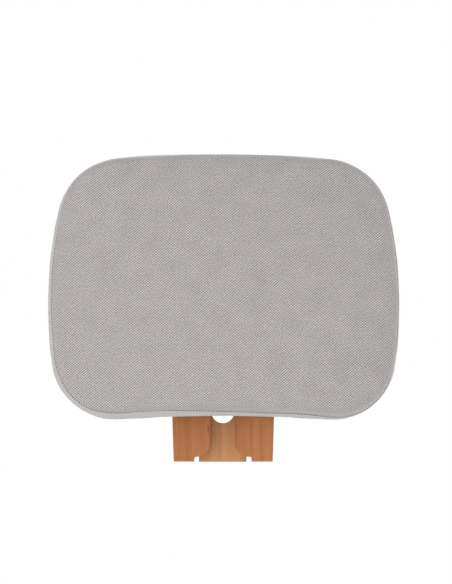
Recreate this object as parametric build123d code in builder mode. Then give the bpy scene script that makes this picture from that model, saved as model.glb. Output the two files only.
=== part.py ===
"""Backrest unit of an ergonomic chair, in millimetres.

+Z is up and the sitter's side faces -Y. The rear face of the spine lies in the plane y = 0, and the
origin is the centre of the four chair inserts in that face. A "depth" is a distance in front of that
plane, so a point at depth d has y = -d.
"""

import os
from math import asin, cos, degrees, radians, sin, sqrt, tan

from build123d import *

# Spine: the slotted slat that is bolted to the chair
spine_width = 55.0
spine_thickness = 18.0
spine_foot_drop = 22.0
spine_head_room = 25.0
slot_width = 26.5
slot_end_above_foot = 44.6

# Chair inserts: threaded bushes for M6 bolts, on a rectangle in the foot of the spine
chair_spacing_x = 30.0
chair_spacing_z = 22.0
insert_radius = 5.0
insert_length = 13.0
insert_bore_radius = 2.5

# Fork: the plate in front of the spine, with a bottle-shaped cut-out open at its foot
fork_thickness = 18.0
fork_foot_width = 114.0
fork_head_width = 132.0
fork_head_above_pivot = 62.0
fork_head_radius = 24.0
neck_width = 30.0
neck_centre_above_foot = 54.0
mouth_width = 66.4
mouth_height = 5.5
shoulder_radius = 15.5
mouth_fillet = 2.4

# Height slide: travel of the fork from the place shown, and the block that runs in the slot
travel_down = 20.0
travel_up = 50.0
block_length = 44.0
block_thickness = 17.0
block_screw_spacing = 27.0
slide_clearance = 0.3
end_clearance = 0.5

# Clamp: carriage bolt, washer and star knob
clamp_bolt_radius = 4.0
clamp_head_radius = 10.0
clamp_head_height = 4.5
clamp_bolt_tail = 24.0
washer_radius = 22.0
washer_thickness = 3.0
knob_radius = 25.0
knob_lobe_radius = 8.0
knob_lobes = 5
knob_height = 15.0
knob_hub_radius = 12.0
knob_hub_height = 6.0
knob_insert_radius = 7.5
knob_insert_length = 17.0

# Tilt hinge
pivot_height = 176.0
tilt_limit = 10.0
pin_radius = 4.0
pin_head_radius = 6.5
pin_head_thickness = 3.0
clip_radius = 7.0
clip_thickness = 1.2
clip_groove_depth = 0.9
clip_mouth = 5.0
pin_tip = 2.0
ear_radius = 10.0
ear_clearance = 1.2
plate_thickness = 3.0
fork_ear_gap = 56.0
bush_wall = 1.5
bush_flange_radius = 8.0
bush_flange = 1.5
fork_plate_height = 58.0
fork_bolt_spacing_x = 36.0
fork_bolt_spacing_z = 36.0
pad_plate_height = 64.0
pad_bolt_spacing_x = 44.0
pad_bolt_spacing_z = 44.0
cleat_thickness = 2.0
cleat_margin = 6.0

# Screws shared by the hinge: M6 button heads
bolt_radius = 3.0
bolt_head_radius = 5.25
bolt_head_height = 3.3
bolt_socket_width = 4.0
bolt_socket_depth = 2.0
fork_bolt_length = 14.0
pad_bolt_length = 16.0

# Small wood screws of the slide block and the bumpers
screw_radius = 2.0
screw_head_radius = 4.0
screw_head_height = 2.5
screw_length = 24.0
slot_drive_width = 1.0
slot_drive_depth = 1.0

# Rubber bumpers on the fork, either side of the pivot
bumper_spacing_x = 88.0
bumper_spacing_z = 100.0
bumper_radius = 10.0
bumper_tip_radius = 8.0
bumper_round = 2.0
bumper_well_radius = 4.5
bumper_floor = 6.0
bumper_clearance = 0.8

# Pad: outline of its back, as four bowed sides with rounded corners
pad_width = 401.0
pad_height = 299.3
pad_foot_above_fork = 51.4
pad_top_width = 350.2
pad_top_bow = 8.9
pad_bottom_width = 364.7
pad_bottom_hollow = 13.1
pad_widest_above_foot = 99.1
pad_top_corner = 80.0
pad_bottom_corner = 75.0

# Pad: layers from back to front, side flare, crown and front edge
rear_cover_thickness = 2.0
board_thickness = 10.0
foam_thickness = 43.0
cover_thickness = 2.0
side_flare = 6.0
board_curve_radius = 2000.0
crown_radius = 2500.0
front_edge_radius = 11.0
seam_behind_front = 22.0
tee_flange_radius = 9.0
tee_flange = 1.5
tee_barrel_radius = 4.2

# Eased edges of the wooden pieces and corners of the steel plates
edge_round = 1.2
plate_corner = 5.0

# General clearances
hole_clearance = 0.1
running_clearance = 0.05
cut_overrun = 5.0

# Depths in front of the spine's rear face
fork_back = spine_thickness + slide_clearance
fork_front = fork_back + fork_thickness
fork_bracket_front = fork_front + plate_thickness
pivot_depth = fork_bracket_front + ear_radius + ear_clearance
pad_bracket_back = pivot_depth + ear_radius + ear_clearance
cleat_back = pad_bracket_back + plate_thickness
pad_back = cleat_back + cleat_thickness
board_back = pad_back + rear_cover_thickness
board_front = board_back + board_thickness
foam_front = board_front + foam_thickness
pad_front = foam_front + cover_thickness

# Heights
foot_z = -spine_foot_drop
slot_bottom_z = foot_z + slot_end_above_foot
clamp_z = slot_bottom_z + end_clearance + travel_down + block_length / 2
slot_top_z = clamp_z + block_length / 2 + travel_up + end_clearance
spine_top_z = slot_top_z + spine_head_room
fork_top_z = pivot_height + fork_head_above_pivot
pad_foot_z = foot_z + pad_foot_above_fork
pad_corner_z = pad_foot_z - pad_bottom_hollow
pad_top_z = pad_foot_z + pad_height
pad_middle_z = (pad_foot_z + pad_top_z) / 2

# Hinge stack along X, from the middle outwards
fork_ear_outer = fork_ear_gap / 2 + plate_thickness
pad_ear_inner = fork_ear_outer + slide_clearance + bush_flange
pad_ear_outer = pad_ear_inner + plate_thickness
pin_shoulder = pad_ear_outer + slide_clearance
bush_radius = pin_radius + running_clearance + bush_wall
groove_radius = pin_radius - clip_groove_depth

# The pad's back plane at the tilt limit sets how far the bumpers may stand out
bumper_reach = bumper_spacing_z / 2 + bumper_tip_radius
pad_back_offset = pad_back - pivot_depth
pad_back_at_limit = pivot_depth + (pad_back_offset - bumper_reach * sin(radians(tilt_limit))) / cos(
    radians(tilt_limit)
)
bumper_height = pad_back_at_limit - fork_front - bumper_clearance


def chair_corners():
    """Places of the chair inserts round the origin."""
    return GridLocations(chair_spacing_x, chair_spacing_z, 2, 2)


def fork_bolt_corners():
    """Places of the fork bracket's screws round the pivot."""
    return GridLocations(fork_bolt_spacing_x, fork_bolt_spacing_z, 2, 2)


def pad_bolt_corners():
    """Places of the pad bracket's screws round the pivot."""
    return GridLocations(pad_bolt_spacing_x, pad_bolt_spacing_z, 2, 2)


def bumper_corners():
    """Places of the bumpers round the pivot."""
    return GridLocations(bumper_spacing_x, bumper_spacing_z, 2, 2)


def block_screw_ends():
    """Places of the slide block's screws above and below the clamp bolt."""
    return GridLocations(1, block_screw_spacing, 1, 2)


def front_plane(depth, height=0.0):
    """Upright plane that faces the sitter, at a depth and with its origin at a height."""
    return Plane((0, -depth, height), x_dir=(1, 0, 0), z_dir=(0, -1, 0))


def side_plane(x):
    """Upright plane across the hinge: local x runs forward, local y runs up from the pivot."""
    return Plane((x, -pivot_depth, pivot_height), x_dir=(0, -1, 0), z_dir=(-1, 0, 0))


def pad_blank(inset):
    """Flared block inside the pad's outline, drawn in by an inset, that overruns its back and front.

    The sides flare steadily, so a block that starts further back is drawn in by the same amount all round.
    """
    start_depth = pad_back - cut_overrun - inset / tan(radians(side_flare))
    with BuildSketch(front_plane(start_depth)) as outline:
        top_left = (-pad_top_width / 2, pad_top_z - pad_top_bow)
        top_right = (pad_top_width / 2, pad_top_z - pad_top_bow)
        bottom_left = (-pad_bottom_width / 2, pad_corner_z)
        bottom_right = (pad_bottom_width / 2, pad_corner_z)
        widest_z = pad_foot_z + pad_widest_above_foot
        with BuildLine():
            ThreePointArc(top_left, (0, pad_top_z), top_right)
            ThreePointArc(top_right, (pad_width / 2, widest_z), bottom_right)
            ThreePointArc(bottom_right, (0, pad_foot_z), bottom_left)
            ThreePointArc(bottom_left, (-pad_width / 2, widest_z), top_left)
        make_face()
        fillet(outline.vertices().sort_by(Axis.Y)[-2:], pad_top_corner)
        fillet(outline.vertices().sort_by(Axis.Y)[:2], pad_bottom_corner)
    length = pad_front + cut_overrun - start_depth
    return extrude(outline.sketch, amount=length, taper=side_flare, mode=Mode.PRIVATE)


def curve_axis():
    """Place of the upright axis that the board and the pad's back curve round."""
    return Locations((0, -(pad_back + board_curve_radius), pad_middle_z))


def crown_centre():
    """Place of the centre of the ball that crowns the pad's front."""
    return Locations((0, -(pad_front - crown_radius), pad_middle_z))


def keep_behind_curve(depth, mode):
    """Cylinder round the curve axis that passes through a depth on the pad's middle line."""
    with curve_axis():
        Cylinder(board_curve_radius - (depth - pad_back), 2 * pad_height, mode=mode)


def keep_behind_crown(depth, mode):
    """Ball whose front passes through a depth on the pad's middle."""
    with crown_centre():
        Sphere(crown_radius - (pad_front - depth), mode=mode)


# Spine slat
with BuildPart() as spine_slat:
    with BuildSketch(front_plane(0)):
        with Locations((0, (foot_z + spine_top_z) / 2)):
            Rectangle(spine_width, spine_top_z - foot_z)
        with Locations((0, (slot_bottom_z + slot_top_z) / 2)):
            SlotOverall(slot_top_z - slot_bottom_z, slot_width, rotation=90, mode=Mode.SUBTRACT)
    extrude(amount=spine_thickness)
    faces_by_depth = spine_slat.faces().filter_by(Axis.Y).sort_by(Axis.Y)
    fillet(faces_by_depth[0].edges() + faces_by_depth[-1].edges(), edge_round)
    with Locations(front_plane(0)):
        with chair_corners():
            Cylinder(
                insert_radius,
                insert_length,
                align=(Align.CENTER, Align.CENTER, Align.MIN),
                mode=Mode.SUBTRACT,
            )
spine_slat.part.label = "spine_slat"

# Chair inserts, flush with the spine's rear face
with BuildPart() as chair_inserts:
    with BuildSketch(front_plane(0)):
        with chair_corners():
            Circle(insert_radius)
            Circle(insert_bore_radius, mode=Mode.SUBTRACT)
    extrude(amount=insert_length)
chair_inserts.part.label = "chair_inserts"

# Fork plate: a slightly tapered board whose cut-out has a wide mouth, round shoulders and a neck
neck_top_z = foot_z + neck_centre_above_foot
mouth_top_z = foot_z + mouth_height
shoulder_top_z = mouth_top_z + shoulder_radius
with BuildPart() as fork_plate:
    with BuildSketch(front_plane(fork_back)) as fork_profile:
        with BuildLine():
            Polyline(
                (-fork_foot_width / 2, foot_z),
                (fork_foot_width / 2, foot_z),
                (fork_head_width / 2, fork_top_z),
                (-fork_head_width / 2, fork_top_z),
                close=True,
            )
        make_face()
        fillet(fork_profile.vertices().sort_by(Axis.Y)[-2:], fork_head_radius)
        with BuildLine():
            left_wall = Line((-mouth_width / 2, foot_z - cut_overrun), (-mouth_width / 2, mouth_top_z))
            left_ledge = Line(left_wall @ 1, (-neck_width / 2 - shoulder_radius, mouth_top_z))
            left_shoulder = RadiusArc(left_ledge @ 1, (-neck_width / 2, shoulder_top_z), -shoulder_radius)
            left_neck = Line(left_shoulder @ 1, (-neck_width / 2, neck_top_z))
            neck_end = ThreePointArc(
                left_neck @ 1,
                (0, neck_top_z + neck_width / 2),
                (neck_width / 2, neck_top_z),
            )
            right_neck = Line(neck_end @ 1, (neck_width / 2, shoulder_top_z))
            right_shoulder = RadiusArc(
                right_neck @ 1, (neck_width / 2 + shoulder_radius, mouth_top_z), -shoulder_radius
            )
            right_ledge = Line(right_shoulder @ 1, (mouth_width / 2, mouth_top_z))
            right_wall = Line(right_ledge @ 1, (mouth_width / 2, foot_z - cut_overrun))
            Line(right_wall @ 1, left_wall @ 0)
        make_face(mode=Mode.SUBTRACT)
        mouth_corners = (
            fork_profile.vertices()
            .filter_by_position(Axis.Y, mouth_top_z, mouth_top_z)
            .filter_by(lambda corner: abs(corner.X) > neck_width / 2 + shoulder_radius + hole_clearance)
        )
        fillet(mouth_corners, mouth_fillet)
    extrude(amount=fork_thickness)
    faces_by_depth = fork_plate.faces().filter_by(Axis.Y).sort_by(Axis.Y)
    fillet(faces_by_depth[0].edges() + faces_by_depth[-1].edges(), edge_round)
    with Locations(front_plane(fork_front, pivot_height)):
        with fork_bolt_corners():
            Cylinder(
                insert_radius,
                insert_length,
                align=(Align.CENTER, Align.CENTER, Align.MAX),
                mode=Mode.SUBTRACT,
            )
        with bumper_corners():
            Cylinder(
                screw_radius,
                screw_length - bumper_floor,
                align=(Align.CENTER, Align.CENTER, Align.MAX),
                mode=Mode.SUBTRACT,
            )
    with Locations(front_plane(fork_front, clamp_z)):
        Hole(clamp_bolt_radius + hole_clearance)
        with block_screw_ends():
            Hole(screw_radius)
fork_plate.part.label = "fork_plate"

# Fork inserts, flush with the fork's front face
with BuildPart() as fork_inserts:
    with BuildSketch(front_plane(fork_front, pivot_height)):
        with fork_bolt_corners():
            Circle(insert_radius)
            Circle(bolt_radius + running_clearance, mode=Mode.SUBTRACT)
    extrude(amount=-insert_length)
fork_inserts.part.label = "fork_inserts"

# Slide block: round-ended, screwed to the fork's back, a little thinner than the spine
with BuildPart() as slide_block:
    with BuildSketch(front_plane(fork_back, clamp_z)):
        SlotOverall(block_length, slot_width - 2 * slide_clearance, rotation=90)
        Circle(clamp_bolt_radius + hole_clearance, mode=Mode.SUBTRACT)
    extrude(amount=-block_thickness)
    with Locations(front_plane(fork_back - block_thickness, clamp_z).reverse()):
        with block_screw_ends():
            CounterBoreHole(screw_radius, screw_head_radius + hole_clearance, screw_head_height)
slide_block.part.label = "slide_block"

# Wood screws that hold the slide block to the fork
with BuildPart() as block_screws:
    with BuildSketch(front_plane(fork_back - block_thickness, clamp_z)):
        with block_screw_ends():
            Circle(screw_head_radius)
    extrude(amount=screw_head_height)
    with BuildSketch(front_plane(fork_back - block_thickness, clamp_z)):
        with block_screw_ends():
            Circle(screw_radius)
    extrude(amount=screw_length)
    with BuildSketch(front_plane(fork_back - block_thickness, clamp_z)):
        with block_screw_ends():
            Rectangle(2 * screw_head_radius, slot_drive_width)
    extrude(amount=slot_drive_depth, mode=Mode.SUBTRACT)
block_screws.part.label = "block_screws"

# Clamp bolt: domed head against the fork's front, shank out through the spine's slot
with BuildPart() as clamp_bolt:
    with BuildSketch(front_plane(fork_front, clamp_z)):
        Circle(clamp_head_radius)
    extrude(amount=clamp_head_height)
    fillet(clamp_bolt.faces().sort_by(Axis.Y)[0].edges(), clamp_head_height / 2)
    with BuildSketch(front_plane(fork_front, clamp_z)):
        Circle(clamp_bolt_radius)
    extrude(amount=-(fork_front + clamp_bolt_tail))
    chamfer(clamp_bolt.faces().sort_by(Axis.Y)[-1].edges(), clamp_bolt_radius / 4)
clamp_bolt.part.label = "clamp_bolt"

# Clamp washer behind the spine
with BuildPart() as clamp_washer:
    with BuildSketch(front_plane(-slide_clearance, clamp_z)):
        Circle(washer_radius)
        Circle(clamp_bolt_radius + hole_clearance, mode=Mode.SUBTRACT)
    extrude(amount=-washer_thickness)
    chamfer(clamp_washer.edges().filter_by(GeomType.CIRCLE).sort_by(Axis.Y)[-2:], washer_thickness / 6)
clamp_washer.part.label = "clamp_washer"

# Star knob: round lobes on a hub that bears on the washer
knob_back = -(slide_clearance + washer_thickness + slide_clearance)
with BuildPart() as star_knob:
    with BuildSketch(front_plane(knob_back, clamp_z)):
        Circle(knob_hub_radius)
    extrude(amount=-knob_hub_height)
    with BuildSketch(front_plane(knob_back - knob_hub_height, clamp_z)) as star:
        Circle(knob_radius - knob_lobe_radius)
        with PolarLocations(knob_radius - knob_lobe_radius, knob_lobes, start_angle=90):
            Circle(knob_lobe_radius)
        fillet(star.vertices(), knob_lobe_radius / 2)
    extrude(amount=-knob_height)
    fillet(star_knob.faces().sort_by(Axis.Y)[-1].edges(), knob_height / 5)
    with BuildSketch(front_plane(knob_back, clamp_z)):
        Circle(knob_insert_radius)
    extrude(amount=-knob_insert_length, mode=Mode.SUBTRACT)
    with BuildSketch(front_plane(knob_back, clamp_z)):
        Circle(clamp_bolt_radius + hole_clearance)
    extrude(amount=-(knob_hub_height + knob_height) - cut_overrun, mode=Mode.SUBTRACT)
star_knob.part.label = "star_knob"

# Threaded bush moulded into the knob
with BuildPart() as knob_insert:
    with BuildSketch(front_plane(knob_back, clamp_z)):
        Circle(knob_insert_radius)
        Circle(clamp_bolt_radius + running_clearance, mode=Mode.SUBTRACT)
    extrude(amount=-knob_insert_length)
knob_insert.part.label = "knob_insert"

# Fork bracket: flat plate on the fork with two ears forward
fork_ear_root = pivot_depth - fork_front
with BuildPart() as fork_bracket:
    with BuildSketch(front_plane(fork_front, pivot_height)):
        RectangleRounded(2 * fork_ear_outer, fork_plate_height, plate_corner)
        with fork_bolt_corners():
            Circle(bolt_radius + hole_clearance, mode=Mode.SUBTRACT)
    extrude(amount=plate_thickness)
    for ear_x in (fork_ear_outer, -fork_ear_gap / 2):
        with BuildSketch(side_plane(ear_x)):
            Circle(ear_radius)
            with Locations((-fork_ear_root / 2, 0)):
                Rectangle(fork_ear_root, 2 * ear_radius)
            Circle(pin_radius + running_clearance, mode=Mode.SUBTRACT)
        extrude(amount=plate_thickness)
fork_bracket.part.label = "fork_bracket"


def hinge_bolts(face_depth, places, length):
    """Button-head screws seated on a plate's front or back face; length is signed like a depth."""
    way = 1 if length > 0 else -1
    seat = front_plane(face_depth, pivot_height)
    with BuildPart() as bolts:
        with BuildSketch(seat):
            with places():
                Circle(bolt_head_radius)
        extrude(amount=-way * bolt_head_height)
        outer = bolts.faces().filter_by(GeomType.PLANE).group_by(Axis.Y)[-1 if way > 0 else 0]
        fillet(outer.edges(), bolt_head_height / 2)
        with BuildSketch(seat):
            with places():
                Circle(bolt_radius)
        extrude(amount=length)
        with BuildSketch(front_plane(face_depth - way * bolt_head_height, pivot_height)):
            with places():
                RegularPolygon(bolt_socket_width / 2, 6, major_radius=False)
        extrude(amount=way * bolt_socket_depth, mode=Mode.SUBTRACT)
    return bolts


# Screws that hold the fork bracket, into the fork inserts
fork_bolts = hinge_bolts(fork_bracket_front, fork_bolt_corners, -fork_bolt_length)
fork_bolts.part.label = "fork_bolts"

# Screws that hold the pad bracket, into the tee nuts
pad_bolts = hinge_bolts(pad_bracket_back, pad_bolt_corners, pad_bolt_length)
pad_bolts.part.label = "pad_bolts"

# Pad bracket: flat plate on the cleat with two ears back, outside the fork's ears
pad_ear_root = cleat_back - pivot_depth
with BuildPart() as pad_bracket:
    with BuildSketch(front_plane(pad_bracket_back, pivot_height)):
        RectangleRounded(2 * pad_ear_outer, pad_plate_height, plate_corner)
        with pad_bolt_corners():
            Circle(bolt_radius + hole_clearance, mode=Mode.SUBTRACT)
    extrude(amount=plate_thickness)
    for ear_x in (pad_ear_outer, -pad_ear_inner):
        with BuildSketch(side_plane(ear_x)):
            Circle(ear_radius)
            with Locations((pad_ear_root / 2, 0)):
                Rectangle(pad_ear_root, 2 * ear_radius)
            Circle(bush_radius, mode=Mode.SUBTRACT)
        extrude(amount=plate_thickness)
pad_bracket.part.label = "pad_bracket"

# Hinge bushes: flanged sleeves in the pad bracket's ears
with BuildPart() as hinge_bushes:
    for flange_start, sleeve_start in (
        (pad_ear_inner, pad_ear_outer),
        (-pad_ear_inner + bush_flange, -pad_ear_inner),
    ):
        with BuildSketch(side_plane(flange_start)):
            Circle(bush_flange_radius)
            Circle(pin_radius + running_clearance, mode=Mode.SUBTRACT)
        extrude(amount=bush_flange)
        with BuildSketch(side_plane(sleeve_start)):
            Circle(bush_radius)
            Circle(pin_radius + running_clearance, mode=Mode.SUBTRACT)
        extrude(amount=plate_thickness)
hinge_bushes.part.label = "hinge_bushes"

# Pivot pin: head on the right, groove for the clip on the left
pin_end = pin_shoulder + clip_thickness + pin_tip
with BuildPart() as pivot_pin:
    with BuildSketch(side_plane(pin_shoulder + pin_head_thickness)):
        Circle(pin_head_radius)
    extrude(amount=pin_head_thickness)
    fillet(pivot_pin.faces().sort_by(Axis.X)[-1].edges(), pin_head_thickness / 3)
    with BuildSketch(side_plane(pin_shoulder)):
        Circle(pin_radius)
    extrude(amount=pin_shoulder + pin_end)
    with BuildSketch(side_plane(-pin_shoulder)):
        Circle(pin_radius)
        Circle(groove_radius, mode=Mode.SUBTRACT)
    extrude(amount=clip_thickness, mode=Mode.SUBTRACT)
    chamfer(pivot_pin.faces().sort_by(Axis.X)[0].edges(), pin_tip / 4)
pivot_pin.part.label = "pivot_pin"

# Open retaining clip in the pin's groove
with BuildPart() as pin_clip:
    with BuildSketch(side_plane(-pin_shoulder)):
        Circle(clip_radius)
        Circle(groove_radius, mode=Mode.SUBTRACT)
        with Locations((0, -clip_radius / 2)):
            Rectangle(clip_mouth, clip_radius, mode=Mode.SUBTRACT)
    extrude(amount=clip_thickness)
pin_clip.part.label = "pin_clip"

# Rubber bumpers: tapered studs with a well for the screw head
with BuildPart() as rubber_bumpers:
    bumper_taper = asin((bumper_radius - bumper_tip_radius) / bumper_height)
    with BuildSketch(front_plane(fork_front, pivot_height)):
        with bumper_corners():
            Circle(bumper_radius)
    extrude(amount=bumper_height, taper=degrees(bumper_taper))
    fillet(rubber_bumpers.faces().filter_by(GeomType.PLANE).group_by(Axis.Y)[0].edges(), bumper_round)
    with Locations(front_plane(fork_front + bumper_height, pivot_height)):
        with bumper_corners():
            CounterBoreHole(screw_radius, bumper_well_radius, bumper_height - bumper_floor)
rubber_bumpers.part.label = "rubber_bumpers"

# Screws in the bumpers' wells
with BuildPart() as bumper_screws:
    seat = front_plane(fork_front + bumper_floor, pivot_height)
    with BuildSketch(seat):
        with bumper_corners():
            Circle(screw_head_radius)
    extrude(amount=screw_head_height)
    with BuildSketch(seat):
        with bumper_corners():
            Circle(screw_radius)
    extrude(amount=-screw_length)
    with BuildSketch(front_plane(fork_front + bumper_floor + screw_head_height, pivot_height)):
        with bumper_corners():
            Rectangle(2 * screw_head_radius, slot_drive_width)
    extrude(amount=-slot_drive_depth, mode=Mode.SUBTRACT)
bumper_screws.part.label = "bumper_screws"

# Hinge cleat: levels the pad's curved back for the pad bracket
with BuildPart() as hinge_cleat:
    cleat_width = 2 * pad_ear_outer + 2 * cleat_margin
    with BuildSketch(front_plane(cleat_back, pivot_height)):
        RectangleRounded(cleat_width, pad_plate_height + 2 * cleat_margin, cleat_margin)
        with pad_bolt_corners():
            Circle(bolt_radius + hole_clearance, mode=Mode.SUBTRACT)
    extrude(amount=cleat_thickness + cut_overrun)
    keep_behind_curve(pad_back, Mode.SUBTRACT)
hinge_cleat.part.label = "hinge_cleat"

# Rear cover: sheet over the whole back of the pad
with BuildPart() as rear_cover:
    add(pad_blank(0))
    keep_behind_curve(pad_back, Mode.INTERSECT)
    keep_behind_curve(board_back, Mode.SUBTRACT)
    with Locations(front_plane(board_back, pivot_height)):
        with pad_bolt_corners():
            Hole(bolt_radius + hole_clearance)
rear_cover.part.label = "rear_cover"

# Back board: curved plywood inside the side band
with BuildPart() as back_board:
    add(pad_blank(cover_thickness))
    keep_behind_curve(board_back, Mode.INTERSECT)
    keep_behind_curve(board_front, Mode.SUBTRACT)
    with Locations(front_plane(board_front, pivot_height)):
        with pad_bolt_corners():
            Hole(tee_barrel_radius)
back_board.part.label = "back_board"

# Tee nuts pressed into the front of the board, clear of its curve at their outer edge
tee_outer_x = pad_bolt_spacing_x / 2 + tee_flange_radius
tee_rise = board_curve_radius - sqrt(board_curve_radius**2 - tee_outer_x**2) + hole_clearance
with BuildPart() as tee_nuts:
    with BuildSketch(front_plane(board_back + tee_rise, pivot_height)):
        with pad_bolt_corners():
            Circle(tee_barrel_radius)
            Circle(bolt_radius + running_clearance, mode=Mode.SUBTRACT)
    extrude(amount=board_thickness)
    with BuildSketch(front_plane(board_front + tee_rise, pivot_height)):
        with pad_bolt_corners():
            Circle(tee_flange_radius)
            Circle(bolt_radius + running_clearance, mode=Mode.SUBTRACT)
    extrude(amount=tee_flange)
tee_nuts.part.label = "tee_nuts"


def crowned_block(inset, front_depth, edge_radius):
    """Pad between the board's front and a crowned front with a rounded edge."""
    with BuildPart() as block:
        add(pad_blank(inset))
        keep_behind_crown(front_depth, Mode.INTERSECT)
        fillet(block.faces().sort_by(Axis.Y)[0].edges(), edge_radius)
    return block.part


# Foam core: crowned in front, on the board, with room for the tee nuts' flanges
with BuildPart() as foam_core:
    add(crowned_block(cover_thickness, foam_front, front_edge_radius - cover_thickness))
    keep_behind_curve(board_front, Mode.INTERSECT)
    with BuildSketch(front_plane(board_back, pivot_height)):
        with pad_bolt_corners():
            Circle(tee_flange_radius + hole_clearance)
    extrude(amount=board_thickness + tee_rise + tee_flange + hole_clearance, mode=Mode.SUBTRACT)
foam_core.part.label = "foam_core"

# Front cover: the twill panel over the crown, down to the seam
with BuildPart() as front_cover:
    add(crowned_block(0, pad_front, front_edge_radius))
    add(crowned_block(cover_thickness, foam_front, front_edge_radius - cover_thickness), mode=Mode.SUBTRACT)
    keep_behind_crown(pad_front - seam_behind_front, Mode.SUBTRACT)
front_cover.part.label = "front_cover"

# Side band: the strip from the seam to the rear cover
with BuildPart() as side_band:
    add(crowned_block(0, pad_front, front_edge_radius))
    add(crowned_block(cover_thickness, foam_front, front_edge_radius - cover_thickness), mode=Mode.SUBTRACT)
    keep_behind_crown(pad_front - seam_behind_front, Mode.INTERSECT)
    keep_behind_curve(board_back, Mode.INTERSECT)
side_band.part.label = "side_band"

pieces = (
    spine_slat,
    chair_inserts,
    fork_plate,
    fork_inserts,
    slide_block,
    block_screws,
    clamp_bolt,
    clamp_washer,
    star_knob,
    knob_insert,
    fork_bracket,
    fork_bolts,
    pivot_pin,
    pin_clip,
    rubber_bumpers,
    bumper_screws,
    pad_bracket,
    pad_bolts,
    hinge_bushes,
    hinge_cleat,
    rear_cover,
    back_board,
    tee_nuts,
    foam_core,
    front_cover,
    side_band,
)
os.makedirs("parts", exist_ok=True)
for piece in pieces:
    export_step(piece.part, f"parts/{piece.part.label}.step")
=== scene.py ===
"""Looks of a chair backrest unit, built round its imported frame, in metres.

+Z is up and the sitter's side faces -Y. The pad's soft covers are sewn shells over a skin that cloth
pressure has filled out; the wood and the hardware keep their solids and get finished surfaces.
"""

import math

import bmesh
import bpy
import numpy as np
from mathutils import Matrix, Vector
from mathutils.bvhtree import BVHTree


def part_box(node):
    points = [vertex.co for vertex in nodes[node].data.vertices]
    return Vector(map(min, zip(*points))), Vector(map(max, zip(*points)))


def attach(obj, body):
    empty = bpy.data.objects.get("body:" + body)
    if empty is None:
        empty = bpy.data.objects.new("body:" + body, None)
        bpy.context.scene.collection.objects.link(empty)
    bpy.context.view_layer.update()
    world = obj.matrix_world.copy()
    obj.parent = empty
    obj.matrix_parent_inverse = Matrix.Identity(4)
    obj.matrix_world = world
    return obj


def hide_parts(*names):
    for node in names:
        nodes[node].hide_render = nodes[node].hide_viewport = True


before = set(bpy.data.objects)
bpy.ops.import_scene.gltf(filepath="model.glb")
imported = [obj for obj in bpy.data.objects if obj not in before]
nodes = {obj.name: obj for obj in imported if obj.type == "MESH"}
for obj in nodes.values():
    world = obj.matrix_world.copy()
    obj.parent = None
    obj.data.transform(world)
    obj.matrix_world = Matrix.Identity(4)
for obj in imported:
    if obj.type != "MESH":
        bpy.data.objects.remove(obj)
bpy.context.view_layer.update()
scene = bpy.context.scene

# Pad: where the frame puts it, and the shapes of its front and back
cover_low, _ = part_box("front_cover")
rear_low, rear_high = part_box("rear_cover")
PAD_FRONT_Y = cover_low.y
PAD_BACK_Y = rear_high.y
PAD_CENTRE = Vector((0.0, (PAD_FRONT_Y + PAD_BACK_Y) / 2, (rear_low.z + rear_high.z) / 2))
CROWN_HEIGHT = 0.179
CROWN_RADIUS = 2.5
BACK_CURVE_RADIUS = 2.0

# Seams: where they run. The front one is askew, and hangs back at the bottom, from the left onwards.
SEAM_BEHIND_FRONT = 0.0195
SEAM_SKEW_X = 0.029
SEAM_SKEW_Z = 0.016
HANG_DEPTH = 0.009
HANG_TOP_Z = 0.085
HANG_SPAN_Z = 0.050
HANG_LEFT_X = -0.130
HANG_SPAN_X = 0.150
REAR_SEAM_FROM_BACK = 0.0055

# Pad: filling out by cloth pressure
SOFT_NODES = ("foam_core", "front_cover", "side_band", "back_board", "rear_cover")
VOXEL = 0.004
VOXEL_SMOOTHING = 2
START_SHRINK = 0.004
PRESSURE = 4.0
SWELL_FRAMES = 20
SWELL_CAP = 0.004
EASE_PASSES = 60
BOARD_FREE = 0.018
NO_LENGTH = 1e-9

# Pad: rays that find its outline and sections, and how often their results are averaged
GRID_RINGS = 60
COLUMNS = 8 * GRID_RINGS
OUTLINE_RAYS = 4 * COLUMNS
FIRST_COLUMN_ANGLE = -math.pi / 4
FAN_STEPS = 181
FAN_FRONT_STEPS = FAN_STEPS // 8
RAY_REACH = 0.35
OUTLINE_PASSES = 8
OUTWARD_PASSES = 6
SECTION_PASSES_ROUND = 6
SECTION_PASSES_ALONG = 3
MIDDLE_PASSES = 6

# Pad: mesh of the covers
RIM_INSET = 0.040
RIM_GROWTH = 0.0021
RIM_ROW_STEP = 0.003
SEAM_ROWS = (0.0, 0.0004, 0.0009, 0.0015, 0.0022, 0.0030, 0.0041, 0.0056)
SEAM_ROWS_END = 0.0078
BAND_SHARE = 0.8
COVER_THICKNESS = 0.0016

# Seams: a drawn-in line with puckers, and the thread that shows in it
FRONT_SEAM_DEPTH = 0.0010
REAR_SEAM_DEPTH = 0.0003
SEAM_WIDTH = 0.0016
PUCKER_DEPTH = 0.00015
PUCKER_LENGTH = 0.0096
PUCKER_WIDTH = 0.0045
STITCH_PITCH = 0.0032
STITCH_LENGTH = 0.0021
STITCH_RADIUS = 0.00042
STITCH_SIDES = 6
FRONT_THREAD_DEPTH = 0.00040
REAR_THREAD_DEPTH = 0.00062

# A stitch's rings: place as a share of its length, and girth as a share of its radius
STITCH_RINGS = ((-0.5, 0.35), (-0.3, 1.0), (0.3, 1.0), (0.5, 0.35))

# Twill: repeats across and up the cloth, yarn spacing, and the yarns' share in the relief
RIB_REPEAT_X = 0.0034
RIB_REPEAT_Z = 0.00285
YARN_PITCH = 0.00113
YARN_SHARE = 0.08
RELIEF_GAIN = 0.4

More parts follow.
